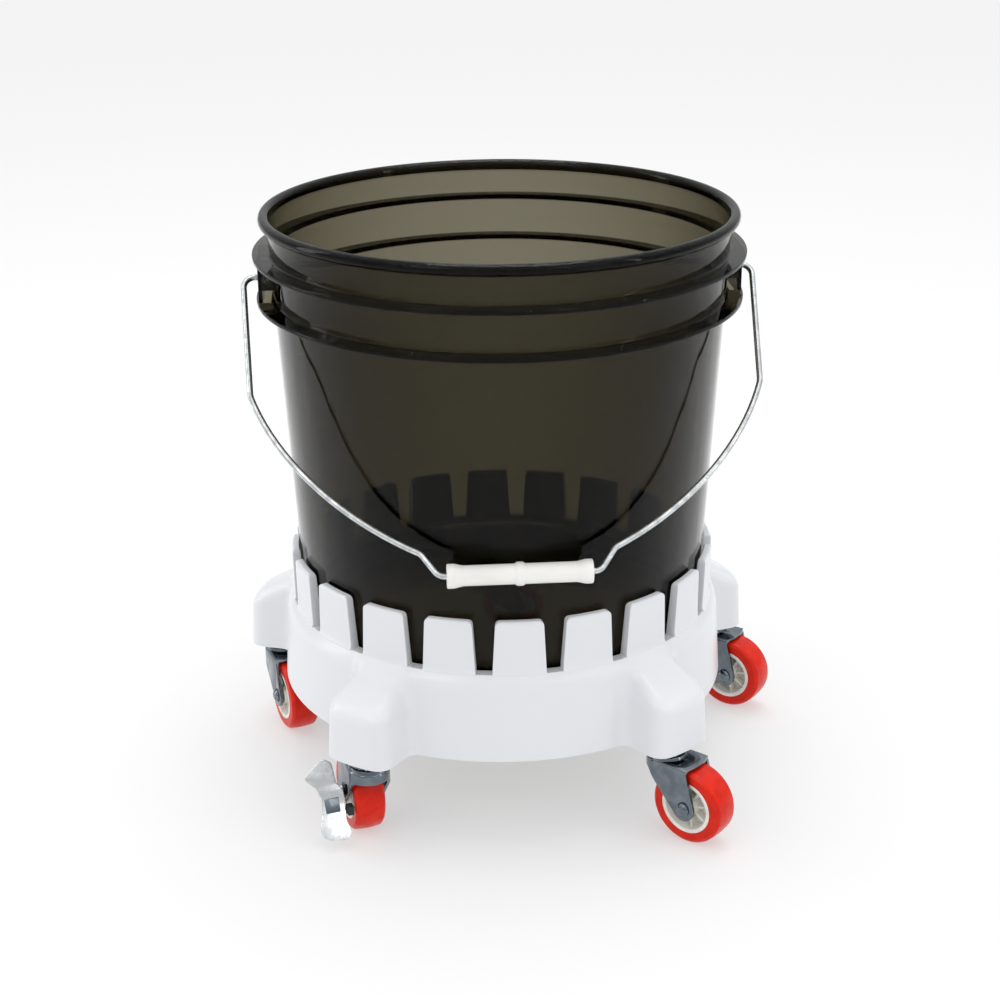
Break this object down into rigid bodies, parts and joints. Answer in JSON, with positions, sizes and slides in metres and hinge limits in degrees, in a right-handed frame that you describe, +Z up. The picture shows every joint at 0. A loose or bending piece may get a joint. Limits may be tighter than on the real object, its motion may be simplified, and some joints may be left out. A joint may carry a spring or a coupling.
{
  "type": "wash bucket",
  "caption": "Tapered smoke-grey wash bucket with a wire bail and sleeve grip, standing in a round white dolly on swivel casters.",
  "frame": {"origin": "on the floor, on the axis of the bucket and the dolly", "axes": "+Z up along the bucket axis; the bail hangs at the front, -Y; its pivots are on +X and -X"},
  "size_m": [0.3652, 0.3446, 0.3742],
  "materials": {
    "smoke_plastic": "glossy translucent smoke-grey moulding",
    "white_plastic": "semi-gloss moulding",
    "steel_wire": "bright drawn wire",
    "zinc_steel": "zinc-plated pressing",
    "red_polyurethane": "satin cast polyurethane",
    "ivory_plastic": "satin moulding",
    "black_rubber": "matt"
  },
  "bodies": {
    "dolly": {"dolly_ring": "white_plastic", "front_right_stem": "zinc_steel", "front_right_stem_nut": "zinc_steel", "front_right_top_cup": "zinc_steel", "side_right_stem": "zinc_steel", "side_right_stem_nut": "zinc_steel", "side_right_top_cup": "zinc_steel", "back_stem": "zinc_steel", "back_stem_nut": "zinc_steel", "back_top_cup": "zinc_steel", "side_left_stem": "zinc_steel", "side_left_stem_nut": "zinc_steel", "side_left_top_cup": "zinc_steel", "front_left_stem": "zinc_steel", "front_left_stem_nut": "zinc_steel", "front_left_top_cup": "zinc_steel"},
    "bucket": {"bucket_shell": "smoke_plastic"},
    "bail": {"bail_wire": "steel_wire"},
    "grip": {"bail_grip": "white_plastic"},
    "front_right_swivel": {"front_right_fork": "zinc_steel", "front_right_ball_ring": "steel_wire", "front_right_axle": "zinc_steel", "front_right_bush": "steel_wire"},
    "front_right_wheel": {"front_right_hub": "ivory_plastic", "front_right_tread": "red_polyurethane"},
    "side_right_swivel": {"side_right_fork": "zinc_steel", "side_right_ball_ring": "steel_wire", "side_right_axle": "zinc_steel", "side_right_bush": "steel_wire"},
    "side_right_wheel": {"side_right_hub": "ivory_plastic", "side_right_tread": "red_polyurethane"},
    "back_swivel": {"back_fork": "zinc_steel", "back_ball_ring": "steel_wire", "back_axle": "zinc_steel", "back_bush": "steel_wire"},
    "back_wheel": {"back_hub": "ivory_plastic", "back_tread": "red_polyurethane"},
    "side_left_swivel": {"side_left_fork": "zinc_steel", "side_left_ball_ring": "steel_wire", "side_left_axle": "zinc_steel", "side_left_bush": "steel_wire"},
    "side_left_wheel": {"side_left_hub": "ivory_plastic", "side_left_tread": "red_polyurethane"},
    "front_left_swivel": {"front_left_fork": "zinc_steel", "front_left_ball_ring": "steel_wire", "front_left_axle": "zinc_steel", "front_left_bush": "steel_wire", "brake_nut": "zinc_steel"},
    "front_left_wheel": {"front_left_hub": "ivory_plastic", "front_left_tread": "red_polyurethane"},
    "brake": {"brake_lever": "zinc_steel", "brake_shoe": "black_rubber"}
  },
  "joints": [
    {"name": "bucket_lift", "type": "slide", "parent": "dolly", "child": "bucket", "axis": [0, 0, 1], "range_m": [0, 0.08]},
    {"name": "bail_swing", "type": "hinge", "parent": "bucket", "child": "bail", "pos_m": [0, 0, 0.3323], "axis": [-1, 0, 0], "range_deg": [0, 270.8]},
    {"name": "grip_turn", "type": "hinge", "parent": "bail", "child": "grip", "pos_m": [0, -0.14345, 0.18557], "axis": [1, 0, 0], "continuous": true},
    {"name": "front_right_turn", "type": "hinge", "parent": "dolly", "child": "front_right_swivel", "pos_m": [0.09369, -0.12895, 0], "axis": [0, 0, 1], "continuous": true},
    {"name": "front_right_roll", "type": "hinge", "parent": "front_right_swivel", "child": "front_right_wheel", "pos_m": [0.10905, -0.14327, 0.025], "axis": [0.682, 0.7314, 0], "continuous": true},
    {"name": "side_right_turn", "type": "hinge", "parent": "dolly", "child": "side_right_swivel", "pos_m": [0.15159, 0.04925, 0], "axis": [0, 0, 1], "continuous": true},
    {"name": "side_right_roll", "type": "hinge", "parent": "side_right_swivel", "child": "side_right_wheel", "pos_m": [0.16814, 0.03633, 0.025], "axis": [0.6157, 0.788, 0], "continuous": true},
    {"name": "back_turn", "type": "hinge", "parent": "dolly", "child": "back_swivel", "pos_m": [0, 0.15939, 0], "axis": [0, 0, 1], "continuous": true},
    {"name": "back_roll", "type": "hinge", "parent": "back_swivel", "child": "back_wheel", "pos_m": [0.02068, 0.16304, 0.025], "axis": [-0.1736, 0.9848, 0], "continuous": true},
    {"name": "side_left_turn", "type": "hinge", "parent": "dolly", "child": "side_left_swivel", "pos_m": [-0.15159, 0.04925, 0], "axis": [0, 0, 1], "continuous": true},
    {"name": "side_left_roll", "type": "hinge", "parent": "side_left_swivel", "child": "side_left_wheel", "pos_m": [-0.14441, 0.02952, 0.025], "axis": [0.9397, 0.342, 0], "continuous": true},
    {"name": "front_left_turn", "type": "hinge", "parent": "dolly", "child": "front_left_swivel", "pos_m": [-0.09369, -0.12895, 0], "axis": [0, 0, 1], "continuous": true},
    {"name": "front_left_roll", "type": "hinge", "parent": "front_left_swivel", "child": "front_left_wheel", "pos_m": [-0.09948, -0.10876, 0.025], "axis": [-0.9613, -0.2756, 0], "continuous": true},
    {"name": "brake_rock", "type": "hinge", "parent": "front_left_swivel", "child": "brake", "pos_m": [-0.09948, -0.10876, 0.025], "axis": [-0.9613, -0.2756, 0], "range_deg": [0, 18]}
  ]
}
